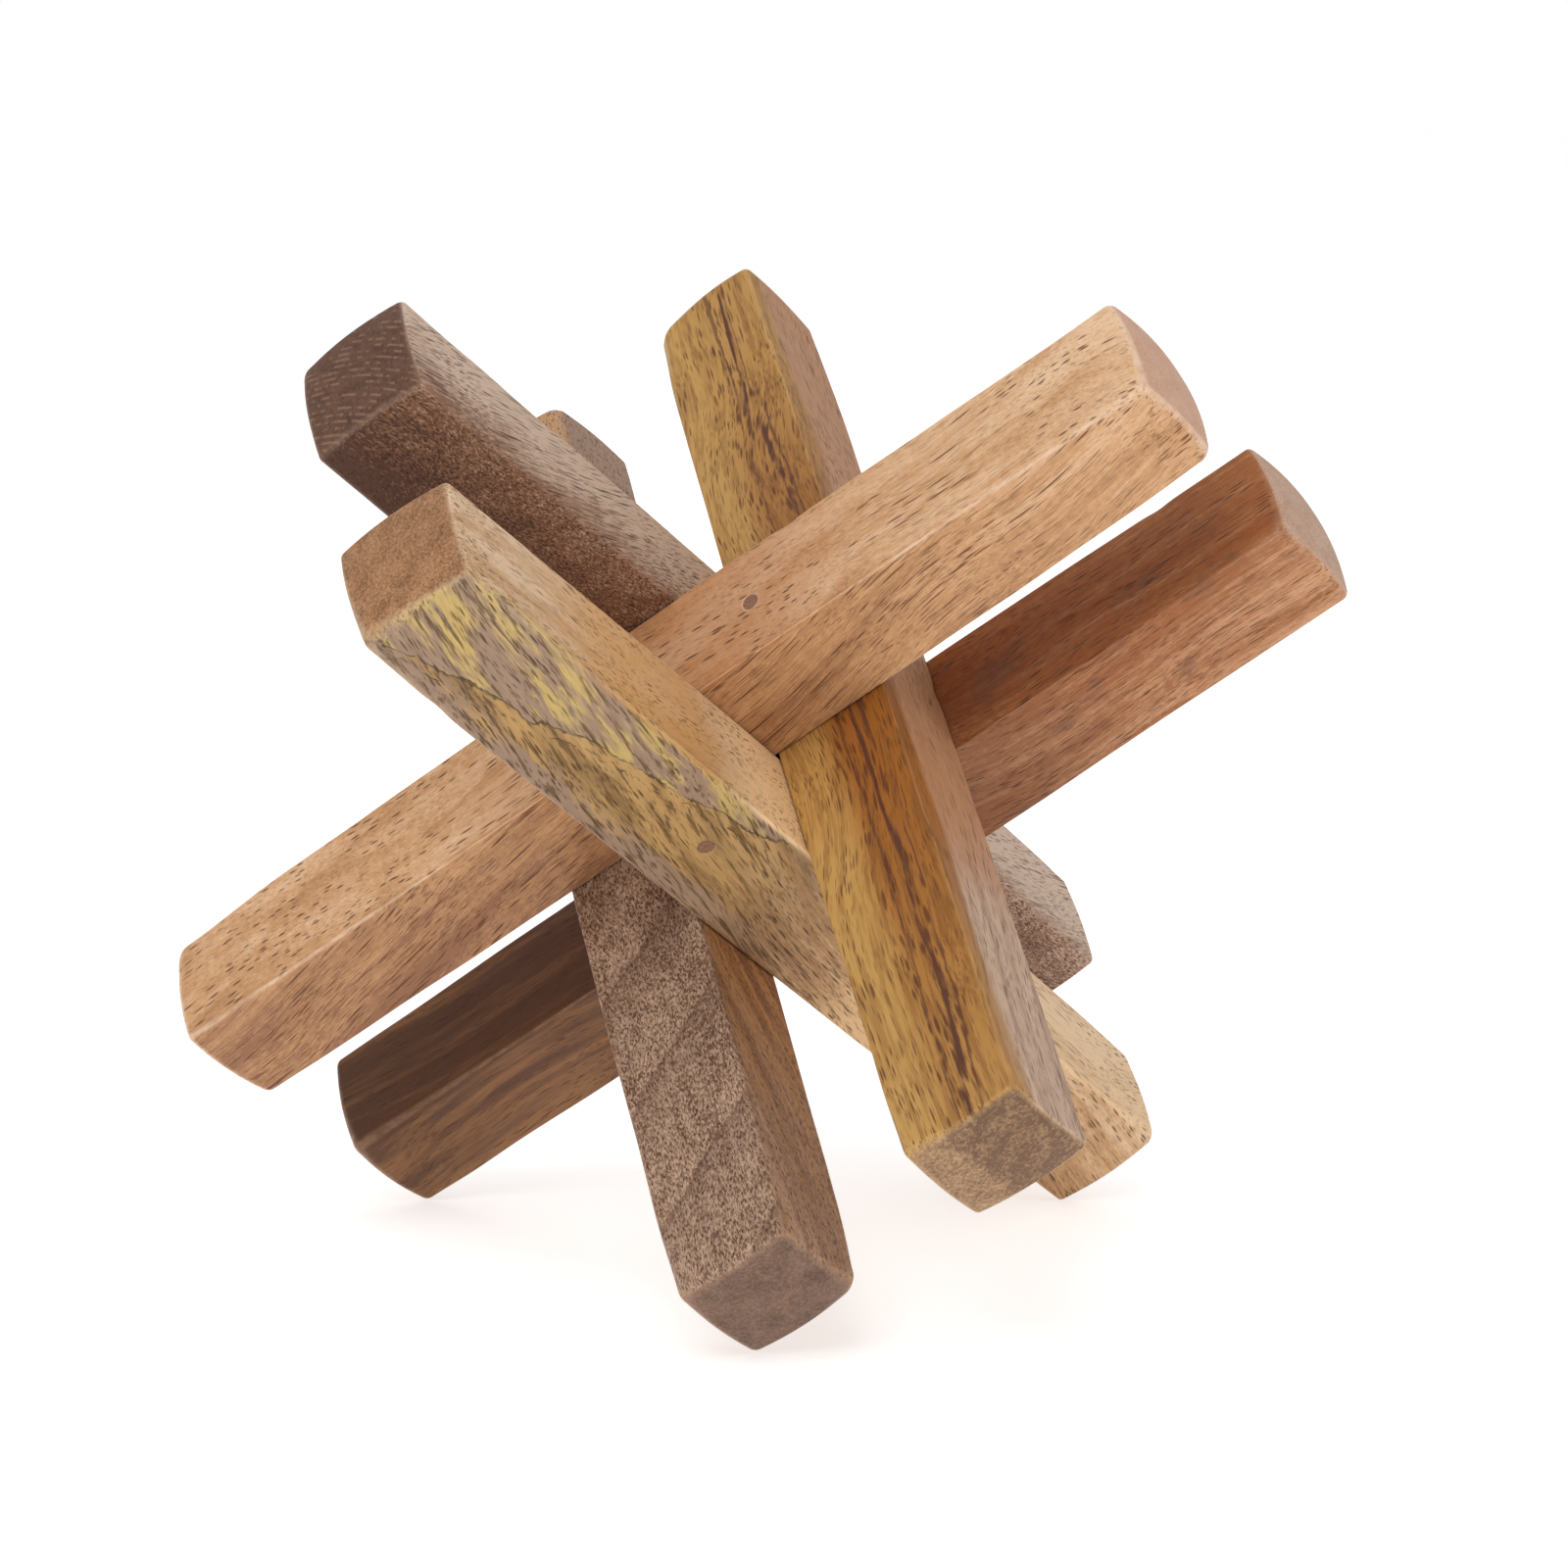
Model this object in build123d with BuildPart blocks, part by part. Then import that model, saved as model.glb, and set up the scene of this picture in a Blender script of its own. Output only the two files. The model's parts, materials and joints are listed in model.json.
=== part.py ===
"""A wooden burr puzzle: six square bars, crossed in pairs and held by hidden friction pins.

Frame: millimetres, +Z up, origin on the surface the puzzle stands on, under its middle.
Three directions at right angles to each other rise equally from the puzzle's middle. Two
bars run along each of them, one on each side of the middle, and the lower ends of three bars
are the feet. The third direction rises straight to the back, so the front foot is at -Y.
"""
import os
from math import atan, cos, radians, sin, sqrt

from build123d import *

# Bars
WIDTH = 19.0  # side of the square section
LENGTH = 176.0  # over the domed ends
EDGE_RADIUS = 1.1  # hand-sanded long edges
END_RADIUS = 1.0  # hand-sanded rims of the ends
DOME_RADIUS = 56.0  # shallow dome sanded on both ends
SLIP = 0.1  # gap between two bars that cross

# Pins
PIN_DIAMETER = 2.4
PIN_REACH = 7.0  # how far a pin enters the next bar
PIN_CLEARANCE = 0.05  # radial, in the next bar's hole
PIN_TIP = 0.4  # chamfer on the leading end
PIN_INSET = 0.1  # pin end below the sanded face
HOLE_SPARE = 1.0  # hole depth past the pin's end
PIN_DRIFT = 1.7  # the holes are drilled this far beyond the middle of the crossing

# Each bar: which of the three rising directions it runs along, and on which side it lies.
BARS = {
    "tan_bar": (0, 1),
    "russet_bar": (0, -1),
    "umber_bar": (1, 1),
    "spalted_bar": (1, -1),
    "golden_bar": (2, 1),
    "speckled_bar": (2, -1),
}
# Each pinned bar, and the bar that its pin enters.
PINNED_TO = {
    "spalted_bar": "tan_bar",
    "tan_bar": "golden_bar",
    "golden_bar": "umber_bar",
    "speckled_bar": "umber_bar",
    "russet_bar": "speckled_bar",
}

RISE = atan(1 / sqrt(2))  # slope of three equal directions at right angles
BACK = 90.0  # azimuth of the third direction
SPREAD = 120.0  # clockwise from one direction to the next, seen from above
OFFSET = WIDTH + SLIP  # from the puzzle's middle to the middle of a bar


def rising(index):
    """One of the three equal directions, as a unit vector."""
    azimuth = radians(BACK + (2 - index) * SPREAD)
    return Vector(cos(RISE) * cos(azimuth), cos(RISE) * sin(azimuth), sin(RISE))


def run(name):
    """The direction a bar runs in, towards its upper end."""
    return rising(BARS[name][0])


def out(name):
    """The direction from the puzzle's middle to a bar."""
    index, side = BARS[name]
    return rising((index + 1) % 3) * side


def foot_depth():
    """How far the lowest point of a foot lies below the puzzle's middle.

    It is on the ball that rounds the lowest corner of the bar's end, between two sides of
    the bar and the dome.
    """
    corner = WIDTH / 2 - EDGE_RADIUS + (EDGE_RADIUS - END_RADIUS) / sqrt(2)
    dome_middle = LENGTH / 2 - DOME_RADIUS
    height = dome_middle + sqrt((DOME_RADIUS - END_RADIUS) ** 2 - 2 * corner**2)
    return (height + OFFSET + 2 * corner) * sin(RISE) + END_RADIUS


MIDDLE = Vector(0, 0, foot_depth())


def bar_plane(name):
    """Across a bar at its middle: x points away from the puzzle, z along the bar."""
    return Plane(origin=MIDDLE + out(name) * OFFSET, x_dir=out(name), z_dir=run(name))


def pin_plane(name):
    """On a pinned bar's outer face, where its pin starts: z points along the pin."""
    station = run(name).dot(out(PINNED_TO[name])) * (OFFSET + PIN_DRIFT)
    start = MIDDLE + out(name) * (OFFSET + WIDTH / 2) + run(name) * station
    return Plane(origin=start, x_dir=run(name), z_dir=out(name) * -1)


os.makedirs("parts", exist_ok=True)

for name in BARS:
    plane = bar_plane(name)
    own_pins = [pin_plane(pinned) for pinned in PINNED_TO if pinned == name]
    next_pins = [pin_plane(pinned) for pinned, target in PINNED_TO.items() if target == name]

    with BuildPart() as bar:
        with BuildSketch(plane):
            Rectangle(WIDTH, WIDTH)
        extrude(amount=LENGTH / 2, both=True)
        fillet(bar.edges().filter_by(Axis(plane.origin, plane.z_dir)), EDGE_RADIUS)

        # Both domes: what stays is inside a round profile with shallow arcs for ends.
        with BuildSketch(Plane(origin=plane.origin, x_dir=plane.x_dir, z_dir=plane.y_dir)) as profile:
            reach = WIDTH
            drop = DOME_RADIUS - sqrt(DOME_RADIUS**2 - reach**2)
            shoulder = LENGTH / 2 - drop
            with BuildLine():
                Line((0, -LENGTH / 2), (0, LENGTH / 2))
                RadiusArc((0, LENGTH / 2), (reach, shoulder), DOME_RADIUS)
                Line((reach, shoulder), (reach, -shoulder))
                RadiusArc((reach, -shoulder), (0, -LENGTH / 2), DOME_RADIUS)
            make_face()
        revolve(axis=Axis(plane.origin, plane.z_dir), mode=Mode.INTERSECT)

        ends = bar.faces().filter_by(GeomType.SPHERE)
        fillet(ends.edges(), END_RADIUS)

        for start in own_pins:
            with BuildSketch(start):
                Circle(PIN_DIAMETER / 2)
            extrude(amount=WIDTH, mode=Mode.SUBTRACT)
        for start in next_pins:
            with BuildSketch(start):
                Circle(PIN_DIAMETER / 2 + PIN_CLEARANCE)
            extrude(amount=WIDTH + SLIP + PIN_REACH + HOLE_SPARE, mode=Mode.SUBTRACT)

    bar.part.label = name
    export_step(bar.part, f"parts/{name}.step")

for name in PINNED_TO:
    start = pin_plane(name)
    pin_name = name.replace("bar", "pin")

    with BuildPart() as pin:
        with BuildSketch(start.offset(PIN_INSET)):
            Circle(PIN_DIAMETER / 2)
        extrude(amount=WIDTH + SLIP + PIN_REACH - PIN_INSET)
        tip = pin.edges().sort_by(Axis(start.origin, start.z_dir))[-1]
        chamfer(tip, PIN_TIP)

    pin.part.label = pin_name
    export_step(pin.part, f"parts/{pin_name}.step")
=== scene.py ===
"""Looks of the wooden burr puzzle: six hand-sanded bars, their pins, floor, light and camera."""
import json
import math

import bpy
import numpy as np
from mathutils import Matrix, Vector, noise


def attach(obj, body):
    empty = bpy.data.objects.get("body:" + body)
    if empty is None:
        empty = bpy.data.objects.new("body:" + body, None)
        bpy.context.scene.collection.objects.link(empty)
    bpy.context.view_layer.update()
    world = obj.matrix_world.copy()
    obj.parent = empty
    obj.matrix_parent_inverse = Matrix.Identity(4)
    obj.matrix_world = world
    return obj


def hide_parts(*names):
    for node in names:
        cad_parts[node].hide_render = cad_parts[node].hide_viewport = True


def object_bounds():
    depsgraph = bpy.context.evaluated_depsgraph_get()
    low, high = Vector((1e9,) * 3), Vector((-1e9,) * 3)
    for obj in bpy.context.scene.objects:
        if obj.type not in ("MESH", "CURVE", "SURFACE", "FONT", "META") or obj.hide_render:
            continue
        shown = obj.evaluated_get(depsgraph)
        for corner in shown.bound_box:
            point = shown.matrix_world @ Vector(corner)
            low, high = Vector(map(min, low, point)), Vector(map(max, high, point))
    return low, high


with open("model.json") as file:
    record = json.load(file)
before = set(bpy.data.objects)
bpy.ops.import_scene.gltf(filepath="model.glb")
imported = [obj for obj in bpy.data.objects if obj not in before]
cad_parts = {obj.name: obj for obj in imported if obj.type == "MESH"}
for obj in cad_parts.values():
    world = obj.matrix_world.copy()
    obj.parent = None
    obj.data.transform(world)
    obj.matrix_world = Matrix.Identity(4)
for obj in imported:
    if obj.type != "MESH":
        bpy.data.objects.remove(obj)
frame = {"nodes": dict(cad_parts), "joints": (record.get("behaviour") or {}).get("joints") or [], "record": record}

MM = 0.001


def plain(bounds):
    """A box's two corners as lists of numbers."""
    return [list(corner) for corner in bounds]


cad_bounds = plain(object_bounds())
middle = (Vector(cad_bounds[0]) + Vector(cad_bounds[1])) / 2

# ---------------------------------------------------------------- the bars' own frames

BODIES = {node: body for body, nodes in frame["record"]["behaviour"]["bodies"].items() for node in nodes}
BARS = [node for node in BODIES if node.endswith("_bar")]
PINS = [node for node in BODIES if node.endswith("_pin")]
# The three directions of the bars are those of the slides, taken upwards.
RISING = []
for joint in frame["joints"]:
    direction = Vector(joint["axis"]).normalized()
    direction *= math.copysign(1, direction.z)
    if all(abs(direction.dot(known)) < 0.5 for known in RISING):
        RISING.append(direction)


def node_points(node):
    """A CAD node's vertices, in the row frame, in metres."""
    return np.array([vertex.co for vertex in frame["nodes"][node].data.vertices])


def bar_frame(node):
    """A bar's own axes as a matrix: x away from the puzzle, y across, z along, rising."""
    points = node_points(node)
    lengths = [np.ptp(points @ np.array(axis)) for axis in RISING]
    run = RISING[int(np.argmax(lengths))]
    place = (Vector(points.min(0)) + Vector(points.max(0))) / 2
    out = (place - middle).normalized()
    side = run.cross(out)
    return Matrix.Translation(place) @ Matrix((out, side, run)).transposed().to_4x4()


def local_points(node, matrix):
    """A CAD node's vertices in a bar's own frame, in metres."""
    inverse = np.array(matrix.inverted())
    return node_points(node) @ inverse[:3, :3].T + inverse[:3, 3]


first_bar = local_points(BARS[0], bar_frame(BARS[0]))
HALF_WIDTH, HALF_LENGTH = first_bar[:, 0].max(), first_bar[:, 2].max()

# ---------------------------------------------------------------- sanded bar meshes

DOME_RADIUS = 56 * MM  # as the CAD bars' ends
EDGE_RADIUS = 0.35 * MM  # near the crossings, where the edges were hardly sanded
END_EDGE_RADIUS = 1.15 * MM  # towards the ends
EDGE_SPREAD = 0.5  # how much the sanding varies the edge radius
DOME_FADE = 11 * MM  # how far the dome's shift reaches along the sides
WAVE_DEPTH = 0.16 * MM  # hollows that hand sanding leaves in the faces
BUMP_SHAPE = np.array([1, 1, 1.6])  # a nick's or worn corner's reach in x, y and z
HOLE_RING = 0.08 * MM  # gap round a pin in its hole
HOLE_SPARE = 0.5 * MM  # how far the cut for a hole passes the pin's ends
HOLE_SIDES = 40


def stations(half, edge, fine, coarse):
    """Sample positions from -half to half, fine within edge of both ends."""
    inner = half - edge
    rim = np.linspace(inner, half, max(2, round(edge / fine)) + 1)[1:]
    body = np.linspace(-inner, inner, max(2, round(2 * inner / coarse)) + 1)
    return np.concatenate([-rim[::-1], body, rim])


def box_grid():
    """Points and quads of a closed box, sampled finely along its edges."""
    across = stations(HALF_WIDTH, edge=2.2 * MM, fine=0.22 * MM, coarse=1.0 * MM)
    along = stations(HALF_LENGTH, edge=3.0 * MM, fine=0.25 * MM, coarse=0.8 * MM)
    halves = (HALF_WIDTH, HALF_WIDTH, HALF_LENGTH)
    samples = (across, across, along)
    points, quads, seen = [], [], {}

    def index(i, j, k):
        key = (i, j, k)
        if key not in seen:
            seen[key] = len(points)
            points.append((samples[0][i], samples[1][j], samples[2][k]))
        return seen[key]

    last = [len(values) - 1 for values in samples]
    for axis in range(3):
        u, v = (axis + 1) % 3, (axis + 2) % 3
        for end in (0, last[axis]):
            for i in range(last[u]):
                for j in range(last[v]):
                    corners = []
                    for a, b in ((i, j), (i + 1, j), (i + 1, j + 1), (i, j + 1)):
                        place = [0, 0, 0]
                        place[axis], place[u], place[v] = end, a, b
                        corners.append(index(*place))
                    quads.append(corners if end else corners[::-1])
    return np.array(points), quads, np.array(halves)


def noise_at(points, scale, seed):
    """Smooth noise, about -1 to 1, at each point; scale is the size of its features in metres."""
    shift = Vector((seed * 7.31, seed * 3.17, seed * 5.73))
    return np.array([noise.noise(Vector(point / scale) + shift) for point in points])


def smoothstep(low, high, value):
    """0 up to low and 1 from high, with a soft rise between them."""
    t = np.clip((value - low) / (high - low), 0, 1)
    return t * t * (3 - 2 * t)


def bumps(points, places):
    """Sum of soft bumps at places on the bar's edges, in metres."""
    total = np.zeros(len(points))
    for corner_x, corner_y, along, size, height in places:
        corner = np.array([corner_x * HALF_WIDTH, corner_y * HALF_WIDTH, along * MM])
        reach = (points - corner) / (BUMP_SHAPE * size * MM)
        total += height * MM * np.exp(-(reach**2).sum(1))
    return total


def sanded(points, halves, seed, nicks, worn):
    """Box points rounded to a hand-sanded bar with domed ends."""
    wobble = noise_at(points, np.array([30, 30, 14]) * MM, seed)
    outward = smoothstep(2 * HALF_WIDTH, HALF_LENGTH, np.abs(points[:, 2]))
    radius = EDGE_RADIUS + (END_EDGE_RADIUS - EDGE_RADIUS) * outward
    radius = (radius * (1 + EDGE_SPREAD * wobble) + bumps(points, worn))[:, None]
    core = np.clip(points, -(halves - radius), halves - radius)
    offset = points - core
    length = np.linalg.norm(offset, axis=1, keepdims=True)
    normal = offset / np.maximum(length, 1e-9)
    shaped = core + normal * radius

    drop = (shaped[:, 0] ** 2 + shaped[:, 1] ** 2) / (2 * DOME_RADIUS)
    near_end = smoothstep(HALF_LENGTH - DOME_FADE, HALF_LENGTH, np.abs(shaped[:, 2]))
    shaped[:, 2] -= np.sign(shaped[:, 2]) * drop * near_end

    wave = noise_at(points, np.array([24, 24, 38]) * MM, seed + 20)
    wave = WAVE_DEPTH * (0.5 + 0.5 * wave) + bumps(shaped, nicks)
    return shaped - normal * wave[:, None]


def mesh_object(name, points, faces, matrix):
    """A new object in the scene; matrix takes its points to the row frame."""
    mesh = bpy.data.meshes.new(name)
    mesh.from_pydata([tuple(matrix @ Vector(point)) for point in points], [], faces)
    thing = bpy.data.objects.new(name, mesh)
    bpy.context.scene.collection.objects.link(thing)
    return thing


def drill(bar, pin):
    """Cuts a pin's hole through a bar, a little wider than the pin."""
    points = node_points(pin)
    centre = (Vector(points.min(0)) + Vector(points.max(0))) / 2
    reach = [np.ptp(points @ np.array(axis)) for axis in RISING]
    axis = RISING[int(np.argmax(reach))]
    radius = min(reach) / 2 + HOLE_RING
    depth = max(reach) + 2 * HOLE_SPARE
    angles = np.arange(HOLE_SIDES) / HOLE_SIDES * math.tau
    ring = [(radius * math.cos(angle), radius * math.sin(angle)) for angle in angles]
    points = [(x, y, end * depth / 2) for end in (-1, 1) for x, y in ring]
    following = [(i + 1) % HOLE_SIDES for i in range(HOLE_SIDES)]
    faces = [(i, j, j + HOLE_SIDES, i + HOLE_SIDES) for i, j in enumerate(following)]
    faces.append(tuple(range(HOLE_SIDES))[::-1])
    faces.append(tuple(range(HOLE_SIDES, 2 * HOLE_SIDES)))
    place = Matrix.Translation(centre) @ axis.to_track_quat("Z", "Y").to_matrix().to_4x4()
    cutter = mesh_object("cutter", points, faces, place)
    cut = bar.modifiers.new("hole", "BOOLEAN")
    cut.operation = "DIFFERENCE"
    cut.solver = "EXACT"
    cut.object = cutter
    bpy.context.view_layer.update()
    whole = bar.evaluated_get(bpy.context.evaluated_depsgraph_get())
    bar.data = bpy.data.meshes.new_from_object(whole)
    bar.modifiers.clear()
    bpy.data.objects.remove(cutter)


def add_masks(bar, matrix):
    """Stores each vertex's place in the bar's frame, in mm, and how much it is an edge or an end."""
    mesh = bar.data
    count = len(mesh.vertices)
    points, normals = np.zeros(count * 3), np.zeros(count * 3)
    mesh.vertices.foreach_get("co", points)
    mesh.vertices.foreach_get("normal", normals)
    inverse = np.array(matrix.inverted())
    local = points.reshape(-1, 3) @ inverse[:3, :3].T + inverse[:3, 3]
    facing = np.abs(normals.reshape(-1, 3) @ inverse[:3, :3].T)
    # The edge mask: the shader paints these rounded edges pale, as wear and as painted highlight.
    worn = smoothstep(0.01, 0.2, 1 - facing.max(1))
    ends = smoothstep(0.55, 0.85, facing[:, 2])
    mesh.attributes.new("bar", "FLOAT_VECTOR", "POINT").data.foreach_set("vector", (local / MM).ravel())
    mesh.attributes.new("edge", "FLOAT", "POINT").data.foreach_set("value", worn)
    mesh.attributes.new("end", "FLOAT", "POINT").data.foreach_set("value", ends)


# Small nicks in the edges: corner (x, y), place along the bar, size and depth, in mm.
NICKS = {
    "tan_bar": [(1, 1, 62, 1.2, 0.3), (1, 1, -40, 1.4, 0.25), (1, -1, 30, 1.0, 0.2)],
    "russet_bar": [(-1, -1, 40, 1.3, 0.25), (-1, 1, 70, 1.2, 0.2)],
    "umber_bar": [(-1, -1, 12, 1.2, 0.25), (-1, 1, 60, 1.5, 0.25)],
    "spalted_bar": [(1, 1, 84, 1.5, 0.4), (1, -1, 70, 1.4, 0.3), (1, 1, 14, 1.1, 0.25)],
    "golden_bar": [(1, -1, 9, 1.3, 0.3), (1, -1, -85, 1.4, 0.3), (1, 1, 2, 1.4, 0.25)],
    "speckled_bar": [(-1, 1, -85, 1.6, 0.4), (-1, 1, -30, 1.2, 0.2)],
}
# Corners sanded rounder: corner (x, y), place along the bar, reach and extra radius, in mm.
WORN = {
    "tan_bar": [(1, 1, 88, 6, 0.8), (-1, 1, 88, 6, 1.0), (1, -1, -88, 9, 1.5)],
    "russet_bar": [(-1, -1, 88, 6, 1.2), (-1, -1, -88, 8, 1.2)],
    "umber_bar": [(1, 1, 88, 6, 0.8), (1, -1, -88, 6, 1.2)],
    "spalted_bar": [(1, -1, 88, 9, 2.0), (1, 1, -88, 8, 1.2), (-1, 1, -88, 8, 1.2)],
    "golden_bar": [(-1, -1, 88, 9, 2.8), (1, 1, 88, 7, 1.4), (-1, -1, -88, 6, 0.8)],
    "speckled_bar": [(1, 1, -88, 7, 1.2), (-1, -1, -88, 7, 1.2), (-1, 1, 88, 8, 1.4)],
}


def build_bar(node, seed):
    """A bar's sanded mesh, with its own pin's hole and its masks."""
    matrix = bar_frame(node)
    points, quads, halves = box_grid()
    points = sanded(points, halves, seed, NICKS[node], WORN[node])
    bar = mesh_object("sanded_" + node, points, quads, matrix)
    # Only its own pin's hole is cut, not that of a pin that comes in from another bar.
    for pin in PINS:
        if BODIES[pin] == BODIES[node]:
            drill(bar, pin)
    add_masks(bar, matrix)
    bar.data.polygons.foreach_set("use_smooth", [True] * len(bar.data.polygons))
    return bar


# ---------------------------------------------------------------- shader helpers


def linear(red, green, blue):
    """An sRGB colour, 0 to 255, as a linear RGBA one."""
    def channel(value):
        value /= 255
        return value / 12.92 if value <= 0.04045 else ((value + 0.055) / 1.055) ** 2.4
    return (channel(red), channel(green), channel(blue), 1.0)


class Net:
    """A material's nodes, with short calls for the ones used here."""

    def __init__(self, name):
        self.material = bpy.data.materials.new(name)
        self.material.use_nodes = True
        self.tree = self.material.node_tree
        self.tree.nodes.clear()
        self.shader = self.add("ShaderNodeBsdfPrincipled")
        output = self.add("ShaderNodeOutputMaterial")
        self.tree.links.new(self.shader.outputs[0], output.inputs["Surface"])

    def add(self, kind, inputs=None, **settings):
        node = self.tree.nodes.new(kind)
        for key, value in settings.items():
            setattr(node, key, value)
        for key, value in (inputs or {}).items():
            self.put(node.inputs[key], value)
        return node

    def put(self, socket, value):
        """Links an output to a socket, or sets the socket's own value."""
        if isinstance(value, bpy.types.NodeSocket):
            self.tree.links.new(value, socket)
        else:
            socket.default_value = value

    def math(self, operation, *values):
        node = self.add("ShaderNodeMath", operation=operation)
        for socket, value in zip(node.inputs, values):
            self.put(socket, value)
        return node.outputs[0]

    def product(self, *factors):
        """Several numbers or outputs multiplied."""
        result = factors[0]
        for factor in factors[1:]:
            result = self.math("MULTIPLY", result, factor)
        return result

    def vector(self, x, y, z):
        return self.add("ShaderNodeCombineXYZ", {"X": x, "Y": y, "Z": z}).outputs[0]

    def split(self, vector):
        """A vector's three numbers."""
        return tuple(self.add("ShaderNodeSeparateXYZ", {0: vector}).outputs)

    def attribute(self, name, output):
        return self.add("ShaderNodeAttribute", attribute_name=name).outputs[output]

    def noise(self, vector, detail=2.0, roughness=0.5, distortion=0.0):
        node = self.add("ShaderNodeTexNoise", {"Vector": vector, "Scale": 1.0, "Detail": detail,
                                               "Roughness": roughness, "Distortion": distortion})
        return node.outputs["Fac"]

    def remap(self, value, low, high, new_low=0.0, new_high=1.0):
        """Softly from new_low at low to new_high at high; low may be the greater."""
        node = self.add("ShaderNodeMapRange", interpolation_type="SMOOTHSTEP")
        for key, setting in (("Value", value), ("From Min", low), ("From Max", high),
                             ("To Min", new_low), ("To Max", new_high)):
            self.put(node.inputs[key], setting)
        return node.outputs[0]

    def mix(self, share, first, second, blend="MIX"):
        node = self.add("ShaderNodeMix", data_type="RGBA", blend_type=blend)
        self.put(node.inputs[0], share)
        self.put(node.inputs[6], first)
        self.put(node.inputs[7], second)
        return node.outputs[2]

    def stretched(self, x, y, z, across, along, shift=0.0):
        """Noise coordinates whose features are across mm wide and along mm long."""
        return self.vector(self.math("MULTIPLY_ADD", x, 1 / across, shift),
                           self.math("MULTIPLY_ADD", y, 1 / across, shift * 1.7),
                           self.math("MULTIPLY_ADD", z, 1 / along, shift * 2.3))


PORE_CELL = 2.2  # size of a pore's cell against the pore's own


def pores(net, grain, width, length, share, seed):
    """Spindle-shaped vessel openings along the grain, in a share of the cells; 1 inside a pore."""
    where = net.stretched(*grain, width * PORE_CELL, length * PORE_CELL, seed)
    cells = net.add("ShaderNodeTexVoronoi", {"Vector": where, "Scale": 1.0, "Randomness": 1.0})
    spindle = net.remap(cells.outputs["Distance"], 0.14, 0.34, 1.0, 0.0)
    chosen = net.math("LESS_THAN", net.split(cells.outputs["Color"])[0], share)
    return net.product(spindle, chosen)


# ---------------------------------------------------------------- woods

LEAN_SPAN = 120.0  # mm over which the lean of the grain eases off
SWAY = 4.8  # mm that the grain wanders to each side
WAVER = 2.0  # mm that the growth rings waver
CURL_AND_SHEEN = 0.05  # change of tone across the grain: curly figure, partly painted sheen flecks
PORE_DEPTH = 0.85  # how much of its dark tone a pore shows
RAY_SLANT = 0.72  # of the rows of dashes on the end grain
RAY_SPACING = 1.25  # mm between those rows
RAY_STRENGTH = 0.42
ROUGHNESS = 0.5
GLOSS_CHANGE = 0.07  # how much the roughness varies

# What a look says where a bar's own look doesn't.
COMMON = {
    "fibre": 0.15,  # change of tone from fibre to fibre
    "streak": 0.14,  # change of tone in long streaks
    "face": (1, 0.0, 0.0),  # a side face (+y or -y), its shift of tone, which paints shade on that face, and how that changes with z
    "speckle": (0.07, 0.07),  # fine change of tone, elsewhere and on that face
    "end_shade": (0.0, -0.2),  # change of the end grain's tone, in the bar's outer part and in late wood
    "sparse": 0.45,  # share of the pores' strength where they are weakest
    "outer_pores": 1.0,  # share of the pores' strength on the outer face
    "wear_and_highlight": 0.3,  # how pale the edges are: wear from sanding, and painted highlight where the rounded edges catch the light
}


def lean_grain(net, place, look):
    """Places in the bar counted along its grain, which leans and wanders."""
    arch = net.math("SINE", net.math("DIVIDE", place[2], LEAN_SPAN))
    leaning = []
    for across, lean, seed in zip(place, look["lean"], (look["seed"], look["seed"] + 9)):
        sway = net.noise(net.stretched(*place, 40, 45, seed), 1.0)
        sway = net.math("MULTIPLY_ADD", sway, 2 * SWAY, -SWAY)
        across = net.math("MULTIPLY_ADD", arch, -lean * LEAN_SPAN, across)
        leaning.append(net.math("ADD", across, sway))
    return (*leaning, place[2])


def late_wood(net, grain, look):
    """The dark part of each growth ring round the pith, 0 to 1."""
    seed = look["seed"]
    far_x, far_y = (net.math("SUBTRACT", across, pith) for across, pith in zip(grain, look["pith"]))
    ring = net.math("SQRT", net.math("ADD", net.product(far_x, far_x), net.product(far_y, far_y)))
    waver = net.noise(net.stretched(*grain, 9, 30, seed + 2), 2.0)
    ring = net.math("MULTIPLY_ADD", waver, WAVER, ring)
    band = net.math("FRACT", net.math("DIVIDE", ring, look["ring"]))
    strength = net.noise(net.stretched(*grain, 5, 60, seed + 3), 1.0)
    return net.product(net.remap(band, 0.45, 0.93), net.remap(band, 0.95, 1.0, 1.0, 0.0),
                       net.remap(strength, 0.35, 0.65, 0.25, 1.0))


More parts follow.
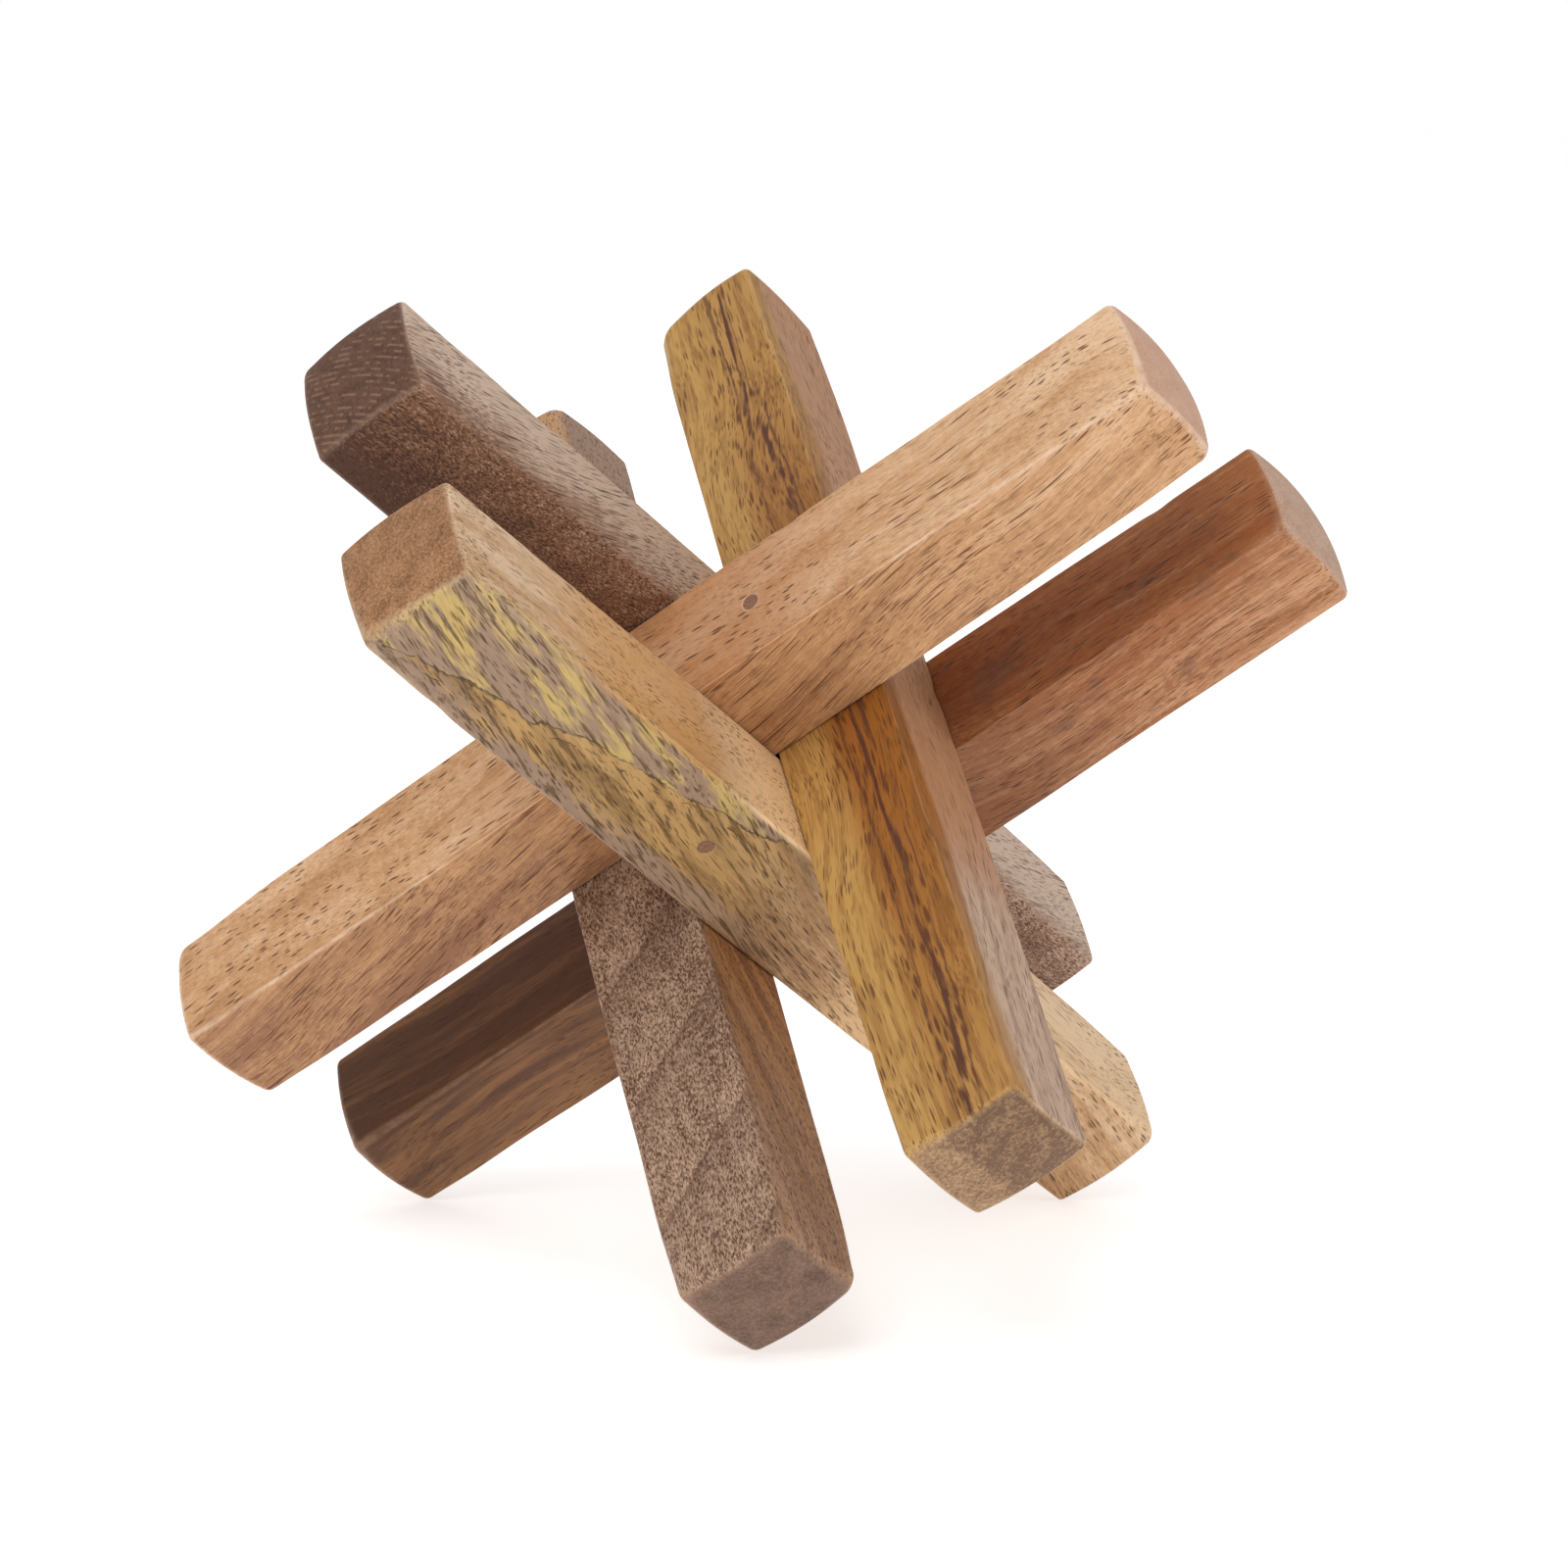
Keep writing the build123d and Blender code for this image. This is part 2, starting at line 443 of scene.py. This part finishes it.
def side_colour(net, place, grain, late, fibre, look):
    """Colour of the long faces, from a tone that runs through the look's three colours."""
    _, y, z = place
    seed = look["seed"]
    # A gradient through the bar, with broad clouds and growth rings. The gradient along x and y is partly painted
    # light and shade: it sets some faces of the bar paler and others darker.
    tone = look["level"]
    for along, slope, half in zip(place, look["slope"], (HALF_WIDTH, HALF_WIDTH, HALF_LENGTH)):
        tone = net.math("MULTIPLY_ADD", along, slope * MM / half, tone)
    cloud = net.noise(net.stretched(*grain, 7, 55, seed + 1), 3.0, 0.55)
    tone = net.math("ADD", tone, net.remap(cloud, 0.25, 0.75, -look["cloud"], look["cloud"]))
    tone = net.math("MULTIPLY_ADD", late, -look["band"], tone)
    # Fibres, streaks along the grain and a little figure across it; that figure is partly painted sheen flecks.
    tone = net.math("MULTIPLY_ADD", fibre, look["fibre"], tone)
    streak = net.noise(net.stretched(*grain, 1.5, 45, seed + 8), 2.0, 0.6)
    tone = net.math("ADD", tone, net.remap(streak, 0.3, 0.7, -look["streak"], look["streak"]))
    curl_and_sheen = net.noise(net.stretched(*place, 5.0, 1.6, seed + 5), 2.0, 0.6)
    tone = net.math("ADD", tone, net.remap(curl_and_sheen, 0.3, 0.7, -CURL_AND_SHEEN, CURL_AND_SHEEN))
    # One side face differs from the others in its speckles, and its shift of tone paints shade on that face.
    side, shift, tilt = look["face"]
    on_side = net.remap(net.math("MULTIPLY", y, side), 8.4, 9.2)
    shift = net.math("MULTIPLY_ADD", z, tilt * MM / HALF_LENGTH, shift)
    tone = net.math("MULTIPLY_ADD", on_side, shift, tone)
    elsewhere, beside = look["speckle"]
    strength = net.math("MULTIPLY_ADD", on_side, beside - elsewhere, elsewhere)
    speckle = net.noise(net.stretched(*grain, 0.28, 0.9, seed + 10), 2.0, 0.7)
    tone = net.math("MULTIPLY_ADD", net.remap(speckle, 0.35, 0.65, -1.0, 1.0), strength, tone)

    ramp = net.add("ShaderNodeValToRGB", {"Fac": tone})
    stops = ramp.color_ramp.elements
    dark, middling, light = look["tones"]
    stops[0].color = linear(*dark)
    stops[1].color = linear(*light)
    stops.new(0.5).color = linear(*middling)
    return ramp.outputs["Color"]


def rays(net, place, seed):
    """Short dashes in bowed rows across the end grain, 0 to 1."""
    x, y, _ = place
    along_row = net.math("MULTIPLY_ADD", x, RAY_SLANT, y)
    bow = net.math("MULTIPLY", net.product(along_row, along_row), 0.006)
    row = net.math("ADD", net.math("MULTIPLY_ADD", y, -RAY_SLANT, x), bow)
    row = net.math("DIVIDE", row, RAY_SPACING)
    apart = net.math("MULTIPLY_ADD", net.math("FLOOR", row), 7.31, 0.4)  # each row has its own dashes
    dash = net.noise(net.vector(net.math("MULTIPLY", along_row, 0.62), apart, seed + 0.5), 2.0)
    off_row = net.math("ABSOLUTE", net.math("SUBTRACT", net.math("FRACT", row), 0.5))
    return net.product(net.remap(dash, 0.46, 0.58), net.remap(off_row, 0.05, 0.30, 1.0, 0.0))


def end_colour(net, place, grain, late, speck, look):
    """Colour of the end grain, finely mottled."""
    seed = look["seed"]
    mottle = net.noise(net.stretched(*grain, 3.0, 9, seed + 7), 2.0)
    tone = net.math("ADD", net.remap(speck, 0.32, 0.68, 0.0, 0.75), net.remap(mottle, 0.3, 0.7, 0.05, 0.35))
    outer_shade, late_shade = look["end_shade"]
    tone = net.math("MULTIPLY_ADD", late, late_shade, tone)
    tone = net.math("MULTIPLY_ADD", net.remap(place[0], -3.5, -1.5), outer_shade, tone)
    dark, light = look["ends"]
    colour = net.mix(tone, linear(*dark), linear(*light))
    if "rays" in look:
        dashes = net.math("MULTIPLY", rays(net, place, seed), RAY_STRENGTH)
        colour = net.mix(dashes, colour, linear(*look["rays"]))
    return colour


def open_pores(net, place, grain, end, look):
    """All the pores of a bar, coarse, fine and long, 0 to 1."""
    seed = look["seed"]
    width, length, share = look["pores"]
    coarse = pores(net, grain, width, length, share, seed + 11)
    fine = pores(net, grain, width * 0.6, length * 0.7, share, seed + 17)
    found = net.math("MAXIMUM", coarse, net.math("MULTIPLY", fine, 0.75))
    gather = net.noise(net.stretched(*grain, 5, 30, seed + 12), 1.0)
    found = net.product(found, net.remap(gather, 0.3, 0.6, look["sparse"], 1.0),
                        net.math("MULTIPLY_ADD", end, -0.75, 1.0),
                        net.remap(place[0], 8.4, 9.2, 1.0, look["outer_pores"]))
    if "lines" in look:
        # Long dark pores in some places.
        here = net.noise(net.stretched(*grain, 7, 22, seed + 24), 1.0)
        lines = net.product(pores(net, grain, *look["lines"], seed + 23), net.math("SUBTRACT", 1.0, end),
                            net.remap(here, 0.38, 0.52))
        found = net.math("MAXIMUM", found, lines)
    return found


def wood(node, look):
    """A procedural hardwood in the bar's own frame; look holds the bar's colours and figure."""
    look = {**COMMON, **look}
    net = Net(node + "_wood")
    seed = look["seed"]
    place = net.split(net.attribute("bar", "Vector"))
    edge, end = net.attribute("edge", "Fac"), net.attribute("end", "Fac")
    grain = lean_grain(net, place, look)
    late = late_wood(net, grain, look)
    fibre = net.remap(net.noise(net.stretched(*grain, 0.34, 6, seed + 4), 3.0, 0.7), 0.3, 0.7, -1.0, 1.0)
    speck = net.noise(net.stretched(*grain, 0.45, 4, seed + 6), 3.0, 0.7)

    colour = side_colour(net, place, grain, late, fibre, look)
    if "figure" in look:
        colour = look["figure"](net, colour, grain, place, seed)
    colour = net.mix(end, colour, end_colour(net, place, grain, late, speck, look))
    hollows = open_pores(net, place, grain, end, look)
    colour = net.mix(net.math("MULTIPLY", hollows, PORE_DEPTH), colour, linear(*look["pore"]))
    # Edges pale, broken up along the grain: partly polished by sanding and hands, partly painted highlight where
    # the rounded edges catch the light.
    edge_wear_and_highlight = net.noise(net.stretched(*place, 1.4, 3.5, seed + 13), 3.0, 0.65)
    edge_wear_and_highlight = net.product(edge, net.remap(edge_wear_and_highlight, 0.3, 0.7, 0.3, 1.0))
    colour = net.mix(net.math("MULTIPLY", edge_wear_and_highlight, look["wear_and_highlight"]), colour, linear(*look["edge"]))
    net.put(net.shader.inputs["Base Color"], colour)

    gloss = net.noise(net.stretched(*place, 4, 12, seed + 14), 3.0, 0.6)
    rough = net.remap(gloss, 0.3, 0.7, ROUGHNESS - GLOSS_CHANGE, ROUGHNESS + GLOSS_CHANGE)
    rough = net.math("MULTIPLY_ADD", hollows, 0.25, rough)
    rough = net.math("MULTIPLY_ADD", edge_wear_and_highlight, -0.10, rough)
    rough = net.math("MULTIPLY_ADD", end, 0.08, rough)
    net.put(net.shader.inputs["Roughness"], rough)
    net.shader.inputs["Specular IOR Level"].default_value = 0.32

    # Relief: pores sunk in, raised fibres, and rough end grain.
    relief = net.math("MULTIPLY", fibre, 0.012)
    relief = net.math("MULTIPLY_ADD", hollows, -0.10, relief)
    relief = net.math("MULTIPLY_ADD", net.product(speck, end), 0.09, relief)
    bump = net.add("ShaderNodeBump", {"Height": relief, "Distance": MM, "Strength": 0.8})
    net.put(net.shader.inputs["Normal"], bump.outputs[0])
    return net.material


# Figure that only one bar has: each takes the bar's colour and gives it back with the figure.


def blush(net, colour, grain, place, seed):
    """A warmer, darker middle of the outer face."""
    x, _, z = place
    here = net.product(net.remap(z, -36, -6), net.remap(z, 48, 18), net.remap(x, 8.2, 9.2))
    return net.mix(net.math("MULTIPLY", here, 0.5), colour, linear(176, 112, 66))


def spalting(net, colour, grain, place, seed):
    """Yellow and grey fungus figure with black zone lines, in the outer skin of the bar."""
    x, y, z = place
    outer = net.remap(x, 7.8, 9.0)
    skin = net.product(outer, net.remap(z, -14, 22))
    wind = net.noise(net.stretched(y, x, z, 6, 13, seed), 4.0, 0.6)
    wind = net.math("MULTIPLY_ADD", wind, 7.0, -3.5)
    # How far a point lies to one side of the main zone line, which crosses the face.
    beside = net.math("ADD", net.math("MULTIPLY_ADD", z, 0.2, y), -10.5)
    beside = net.math("ADD", beside, wind)

    fine = net.noise(net.stretched(*grain, 0.5, 7, seed + 5), 3.0, 0.7)
    bands = net.noise(net.stretched(*grain, 3.2, 19, seed + 1), 3.0, 0.65)
    bands = net.math("MULTIPLY_ADD", fine, 0.22, bands)
    yellow = net.mix(fine, linear(176, 146, 84), linear(216, 188, 118))
    grey = net.mix(fine, linear(134, 108, 90), linear(174, 146, 122))
    far_side = net.mix(net.remap(bands, 0.565, 0.70), grey, yellow)
    soft = net.noise(net.stretched(*grain, 4.5, 26, seed + 4), 3.0, 0.6)
    soft = net.math("MULTIPLY_ADD", fine, 0.25, soft)
    near_side = net.mix(net.remap(soft, 0.42, 0.76), linear(118, 88, 50), linear(190, 150, 92))
    rim = net.math("MULTIPLY_ADD", soft, -9.0, net.math("MULTIPLY", y, -1.0))
    near_side = net.mix(net.remap(rim, -1.0, 1.4), near_side, grey)
    figure = net.mix(net.remap(beside, -0.25, 0.25), near_side, far_side)
    colour = net.mix(net.math("MULTIPLY", skin, 0.9), colour, figure)

    # A pale stretch below the pin: pale wood, brightened further as painted light where the golden bar shades it.
    below = net.product(net.remap(z, -12, -26), net.remap(z, -64, -50), outer)
    below = net.math("MULTIPLY", below, 0.85)
    colour = net.mix(below, colour, net.mix(soft, linear(204, 160, 112), linear(242, 204, 154)))

    # Dark olive streaks, which go on into the lower half on one side of the pin.
    olive = net.noise(net.stretched(*grain, 0.8, 12, seed + 2), 3.0, 0.7)
    low = net.product(net.remap(z, -42, -22), net.remap(y, 3.0, -5.0), outer)
    olive = net.product(net.remap(olive, 0.52, 0.63), net.math("MAXIMUM", skin, low))
    colour = net.mix(net.math("MULTIPLY", olive, 0.8), colour, linear(92, 66, 30))
    # One grey streak ends that figure, just below the pin.
    tail = net.math("ABSOLUTE", net.math("MULTIPLY_ADD", wind, 0.25, net.math("ADD", y, 0.6)))
    tail = net.product(net.remap(tail, 0.3, 1.1, 1.0, 0.0), net.remap(z, -46, -38),
                       net.remap(z, -16, -19), outer)
    colour = net.mix(net.math("MULTIPLY", tail, 0.6), colour, linear(104, 84, 62))

    # The zone line, with a broken twin beside it.
    gaps = net.noise(net.stretched(*place, 1.5, 4, seed + 3), 2.0)
    line = net.remap(net.math("ABSOLUTE", beside), 0.03, 0.24, 1.0, 0.0)
    twin = net.remap(net.math("ABSOLUTE", net.math("ADD", beside, 1.6)), 0.0, 0.2, 1.0, 0.0)
    line = net.math("MAXIMUM", line, net.product(twin, net.remap(gaps, 0.52, 0.58)))
    line = net.product(line, net.remap(gaps, 0.30, 0.44), skin)
    colour = net.mix(net.math("MULTIPLY", line, 0.8), colour, linear(60, 46, 30))

    # The side next to it is golden brown higher up, and at the crossing it is brightened with painted light, where
    # a crossing bar shades it.
    beside_it = net.remap(y, 8.2, 9.2)
    warm = net.product(net.remap(z, 20, 34), net.remap(z, 74, 52), net.math("MULTIPLY", beside_it, 0.7))
    colour = net.mix(warm, colour, net.mix(soft, linear(176, 120, 60), linear(214, 160, 94)))
    pale = net.product(net.remap(z, 32, 16), net.remap(z, -30, -5, 0.4, 1.0), beside_it,
                       net.remap(soft, 0.40, 0.62, 0.7, 1.0))
    return net.mix(pale, colour, linear(252, 214, 164))


def stripes(net, colour, grain, place, seed):
    """Golden heartwood on one side of the bar: an amber part, a dark stripe and dark dashes."""
    x, y, z = place
    # The side next to it is warm at the crossing.
    warm = net.product(net.remap(z, -50, -34), net.remap(x, 8.2, 9.2))
    colour = net.mix(net.math("MULTIPLY", warm, 0.7), colour, linear(180, 124, 80))

    drift = net.noise(net.stretched(*grain, 5, 60, seed + 1), 2.0, 0.5)
    across = net.math("MULTIPLY_ADD", drift, 6.0, net.math("ADD", x, -3.0))
    across = net.math("MULTIPLY_ADD", net.math("ABSOLUTE", z), 0.02, across)
    from_middle = net.math("ABSOLUTE", net.math("ADD", z, 12.0))
    amber = net.product(net.remap(across, -4.5, 2.5), net.remap(from_middle, 90, 15, 0.25, 1.0))
    golden = net.mix(amber, linear(194, 150, 84), linear(158, 98, 38))
    vary = net.noise(net.stretched(*grain, 0.9, 20, seed + 2), 3.0, 0.7)
    vary = net.product(net.remap(vary, 0.42, 0.62), net.math("MULTIPLY_ADD", amber, 0.35, 0.45))
    golden = net.mix(vary, golden, linear(132, 84, 38))
    edge_of_gold = net.noise(net.stretched(*grain, 4, 40, seed), 2.0)
    gold = net.math("MULTIPLY_ADD", edge_of_gold, 5.0, net.math("MULTIPLY", y, -1.0))
    gold = net.remap(gold, 6.6, 9.4)
    colour = net.mix(gold, colour, golden)

    # One strong ragged stripe and two thin ones, all broken.
    ragged = net.noise(net.stretched(*grain, 0.6, 6, seed + 3), 3.0, 0.75)
    broken = net.noise(net.stretched(*grain, 1.4, 14, seed + 4), 2.0, 0.6)
    off_line = net.math("MULTIPLY_ADD", ragged, 1.2, across)
    for centre, half, share in ((5.0, 0.65, 1.0), (6.4, 0.3, 0.8), (2.6, 0.3, 0.7)):
        apart = net.math("ABSOLUTE", net.math("SUBTRACT", off_line, centre))
        line = net.product(net.remap(apart, half * 0.3, half, 1.0, 0.0), net.remap(broken, 0.36, 0.52),
                           net.math("MULTIPLY", gold, share))
        colour = net.mix(line, colour, linear(92, 54, 38))
    # Big dashes crowd together beside the stripe.
    near_stripe = net.math("ABSOLUTE", net.math("ADD", across, -2.8))
    near_stripe = net.remap(near_stripe, 2.2, 5.0, 1.0, 0.15)
    dashes = net.math("MAXIMUM", pores(net, grain, 0.55, 3.2, 0.95, seed + 5),
                      pores(net, grain, 0.4, 2.4, 0.95, seed + 6))
    dashes = net.product(dashes, near_stripe, gold)
    return net.mix(net.math("MULTIPLY", dashes, 0.85), colour, linear(92, 50, 26))


def ripples(net, colour, grain, place, seed):
    """Growth bands running aslant over the pored face, and a streaked amber part of the sides."""
    x, y, z = place
    on_face = net.remap(y, 7.5, 9.2)
    amber = net.product(net.remap(z, -70, 0, 0.35, 1.0), net.remap(z, 60, 30),
                        net.math("SUBTRACT", 1.0, on_face))
    streak = net.noise(net.stretched(*grain, 1.6, 40, seed + 3), 3.0, 0.6)
    warm = net.mix(net.remap(streak, 0.38, 0.62), linear(138, 82, 38), linear(196, 136, 66))
    colour = net.mix(net.math("MULTIPLY", amber, 0.85), colour, warm)

    wave = net.noise(net.stretched(*place, 14, 20, seed), 2.0, 0.45)
    fray = net.noise(net.stretched(*grain, 0.5, 1.2, seed + 1), 2.0, 0.7)
    level = net.math("MULTIPLY_ADD", x, 0.8, z)
    level = net.math("MULTIPLY_ADD", wave, 6.0, level)
    level = net.math("MULTIPLY_ADD", fray, 2.4, level)
    band = net.math("FRACT", net.math("MULTIPLY", level, 1 / 21))
    late = net.product(net.remap(band, 0.35, 0.97), net.remap(band, 0.97, 1.0, 1.0, 0.0))
    line = net.product(net.remap(band, 0.90, 0.96), net.remap(band, 0.96, 1.0, 1.0, 0.0))
    # The bands stop short of the upper end, which is paler.
    below_end = net.product(on_face, net.remap(z, 74, 56))
    colour = net.mix(net.math("MULTIPLY", net.product(line, below_end), 0.42), colour, linear(92, 58, 38))
    end_part = net.mix(on_face, linear(178, 146, 124), linear(202, 154, 110))
    colour = net.mix(net.math("MULTIPLY", net.remap(z, 56, 74), 0.75), colour, end_part)
    return net.mix(net.math("MULTIPLY", net.product(late, below_end), 0.3), colour, linear(104, 74, 56))


def smoke(net, colour, grain, place, seed):
    """Walnut-brown lower end with paler streaks, grey smudges towards the middle, and painted shade on the -y
    face.
    """
    x, y, z = place
    blot = net.noise(net.stretched(*grain, 6, 10, seed), 4.0, 0.65)
    blot = net.math("MULTIPLY_ADD", net.remap(z, 50, 18), 0.09, blot)
    blot = net.remap(blot, 0.54, 0.68)
    colour = net.mix(net.math("MULTIPLY", blot, 0.4), colour, linear(96, 68, 58))
    # Painted shade: the -y face darkens from the middle down.
    painted_side_shade = net.product(net.remap(z, 56, 24), net.remap(y, -8.4, -9.2))
    colour = net.mix(net.math("MULTIPLY", painted_side_shade, 0.35), colour, linear(104, 72, 54))
    streak = net.noise(net.stretched(*grain, 3.4, 60, seed + 1), 4.0, 0.6)
    streak = net.math("MULTIPLY_ADD", x, 0.010, streak)
    walnut = net.mix(net.remap(streak, 0.34, 0.64), linear(80, 48, 25), linear(136, 94, 56))
    lower = net.remap(z, 0.0, -32)
    return net.mix(net.math("MULTIPLY", lower, 0.9), colour, walnut)


# Each bar's look. lean: how far the grain leans in x and y. pith, ring: middle and spacing of the growth
# rings, in mm. band, cloud, slope, level: how tone changes with them and along x, y and z, and where it
# starts. tones, ends: colours from dark to light. pores, lines: width and length in mm, and share.
LOOKS = {
    "tan_bar": {
        "seed": 1.0, "lean": (0.20, 0.04), "pith": (-30, 26), "ring": 6.5, "band": 0.20,
        "slope": (0.10, -0.04, 0.12), "level": 0.60, "cloud": 0.16, "face": (1, -0.20, 0.08),
        "tones": [(148, 102, 70), (202, 152, 106), (234, 196, 158)], "streak": 0.08, "fibre": 0.10,
        "ends": [(196, 148, 120), (216, 176, 150)],
        "pores": (0.18, 3.6, 0.85), "pore": (96, 54, 30), "lines": (0.32, 8, 0.95),
        "edge": (240, 210, 182), "wear_and_highlight": 0.65, "outer_pores": 0.5,
        "figure": blush,
    },
    "russet_bar": {
        "seed": 2.0, "lean": (0.03, -0.05), "pith": (20, -35), "ring": 8.0, "band": 0.20,
        "slope": (0.14, -0.08, 0.20), "level": 0.42, "cloud": 0.24, "face": (-1, -0.08, 0.06),
        "tones": [(144, 76, 28), (160, 101, 58), (202, 150, 110)],
        "ends": [(176, 138, 114), (204, 170, 148)],
        "pores": (0.18, 3.0, 0.75), "pore": (72, 40, 22), "edge": (206, 164, 130), "wear_and_highlight": 0.25,
        "figure": smoke,
    },
    "umber_bar": {
        "seed": 3.0, "lean": (-0.46, 0.05), "pith": (60, -22), "ring": 5.0, "band": 0.10,
        "slope": (0.40, -0.36, -0.14), "level": 0.66, "cloud": 0.07, "fibre": 0.20, "streak": 0.05,
        "tones": [(80, 48, 32), (144, 104, 78), (208, 180, 158)],
        "speckle": (0.22, 0.08), "face": (-1, 0.0, 0.0),
        "ends": [(78, 50, 36), (110, 76, 58)], "rays": (164, 130, 106),
        "pores": (0.20, 3.2, 1.0), "pore": (64, 40, 28), "lines": (0.24, 6, 0.95),
        "edge": (166, 134, 112), "sparse": 0.8,
    },
    "spalted_bar": {
        "seed": 4.0, "lean": (0.03, 0.20), "pith": (-28, -30), "ring": 7.0, "band": 0.18,
        "slope": (-0.14, 0.22, -0.06), "level": 0.62, "cloud": 0.22,
        "tones": [(142, 102, 64), (192, 150, 106), (224, 192, 158)],
        "ends": [(116, 76, 44), (186, 138, 98)],
        "pores": (0.28, 2.4, 0.95), "pore": (84, 58, 34), "edge": (228, 196, 156), "sparse": 0.25,
        "figure": spalting,
    },
    "golden_bar": {
        "seed": 5.0, "lean": (0.03, 0.02), "pith": (24, 30), "ring": 4.2, "band": 0.22,
        "slope": (0.06, -0.05, -0.10), "level": 0.52, "cloud": 0.16,
        "tones": [(142, 110, 90), (182, 150, 126), (210, 178, 150)],
        "ends": [(112, 82, 60), (188, 150, 110)], "end_shade": (-0.42, -0.15),
        "pores": (0.22, 3.2, 0.85), "pore": (96, 58, 34), "edge": (222, 182, 128),
        "figure": stripes,
    },
    "speckled_bar": {
        "seed": 6.0, "lean": (0.03, 0.30), "pith": (-26, 60), "ring": 9.0, "band": 0.08,
        "slope": (0.10, 0.0, -0.08), "level": 0.42, "cloud": 0.14, "speckle": (0.10, 0.40),
        "tones": [(96, 64, 44), (160, 127, 104), (196, 164, 138)],
        "ends": [(92, 66, 52), (138, 108, 90)],
        "pores": (0.24, 0.7, 1.0), "pore": (70, 45, 32), "edge": (190, 152, 124),
        "sparse": 1.0, "figure": ripples,
    },
}


def pin_wood():
    """End grain of a small dowel: red-brown, with fine dots."""
    net = Net("pin_wood")
    place = net.split(net.add("ShaderNodeTexCoord").outputs["Object"])
    place = (net.math("MULTIPLY", value, 1 / MM) for value in place)
    speck = net.noise(net.stretched(*place, 0.22, 0.22, 3.0), 3.0, 0.7)
    speck = net.remap(speck, 0.35, 0.65)
    net.put(net.shader.inputs["Base Color"], net.mix(speck, linear(122, 80, 56), linear(162, 116, 86)))
    net.put(net.shader.inputs["Roughness"], net.remap(speck, 0.0, 1.0, 0.72, 0.58))
    relief = net.math("MULTIPLY", speck, 0.05)
    bump = net.add("ShaderNodeBump", {"Height": relief, "Distance": MM, "Strength": 0.7})
    net.put(net.shader.inputs["Normal"], bump.outputs[0])
    return net.material


for number, name in enumerate(BARS):
    bar = build_bar(name, 1.0 + number)
    bar.data.materials.clear()
    bar.data.materials.append(wood(name, LOOKS[name]))
    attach(bar, BODIES[name])
    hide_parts(name)

pin_material = pin_wood()
for name in PINS:
    for slot in frame["nodes"][name].material_slots:
        slot.material = pin_material

# ---------------------------------------------------------------- floor, light and camera

FLOOR_HALF = 6.0
WORLD_LIGHT = 0.55
CAMERA_PLACE = Vector((-178.4, -675.6, 113.6)) * MM  # from the puzzle's middle
CAMERA_AIM = Vector((4.8, -1.4, -1.1)) * MM  # what is at the centre of the view, from that middle
CAMERA_ROLL = math.radians(-0.33)
SENSOR = 36  # mm
LENS = 110.5  # mm


def add_floor():
    """A plain floor, pale and a little bright of itself, so that it shows as white as the background."""
    pale = Net("pale_floor")
    settings = {"Base Color": (0.80, 0.80, 0.80, 1), "Roughness": 0.9, "Specular IOR Level": 0.1,
                "Emission Color": (1, 1, 1, 1), "Emission Strength": 0.55}
    for key, value in settings.items():
        pale.put(pale.shader.inputs[key], value)
    corners = [(x * FLOOR_HALF, y * FLOOR_HALF, 0) for x, y in ((-1, -1), (1, -1), (1, 1), (-1, 1))]
    floor = mesh_object("floor", corners, [(0, 1, 2, 3)], Matrix.Identity(4))
    floor.data.materials.append(pale.material)


def add_softbox(name, place, size, power):
    """A square area light aimed at the puzzle; place is metres from its middle."""
    lamp = bpy.data.lights.new(name, "AREA")
    lamp.shape = "SQUARE"
    lamp.size = size
    lamp.energy = power
    light = bpy.data.objects.new(name, lamp)
    light.location = middle + Vector(place)
    light.rotation_euler = (-Vector(place)).to_track_quat("-Z", "Y").to_euler()
    bpy.context.scene.collection.objects.link(light)


def add_world():
    world = bpy.data.worlds.new("studio")
    world.use_nodes = True
    background = world.node_tree.nodes["Background"]
    background.inputs["Color"].default_value = (1.0, 1.0, 1.0, 1)
    # White behind the puzzle, softer as a light on it.
    path = world.node_tree.nodes.new("ShaderNodeLightPath")
    strength = world.node_tree.nodes.new("ShaderNodeMapRange")
    strength.inputs["To Min"].default_value = WORLD_LIGHT
    strength.inputs["To Max"].default_value = 1.0
    world.node_tree.links.new(path.outputs["Is Camera Ray"], strength.inputs["Value"])
    world.node_tree.links.new(strength.outputs[0], background.inputs["Strength"])
    bpy.context.scene.world = world


def add_camera():
    data = bpy.data.cameras.new("camera")
    data.sensor_width = SENSOR
    data.lens = LENS
    data.clip_start = 0.01
    data.clip_end = 50
    camera = bpy.data.objects.new("camera", data)
    turn = (CAMERA_AIM - CAMERA_PLACE).to_track_quat("-Z", "Y").to_matrix().to_4x4()
    turn = turn @ Matrix.Rotation(-CAMERA_ROLL, 4, "Z")
    camera.matrix_world = Matrix.Translation(middle + CAMERA_PLACE) @ turn
    bpy.context.scene.collection.objects.link(camera)
    bpy.context.scene.camera = camera


add_floor()
add_world()
add_softbox("key", (-0.7, -0.9, 1.3), 1.0, 10.5)
add_softbox("fill", (1.2, -0.9, 0.5), 1.2, 2.0)
add_softbox("back", (0.2, 1.2, 1.2), 1.0, 5)
add_camera()
bpy.context.scene.view_settings.view_transform = "Standard"
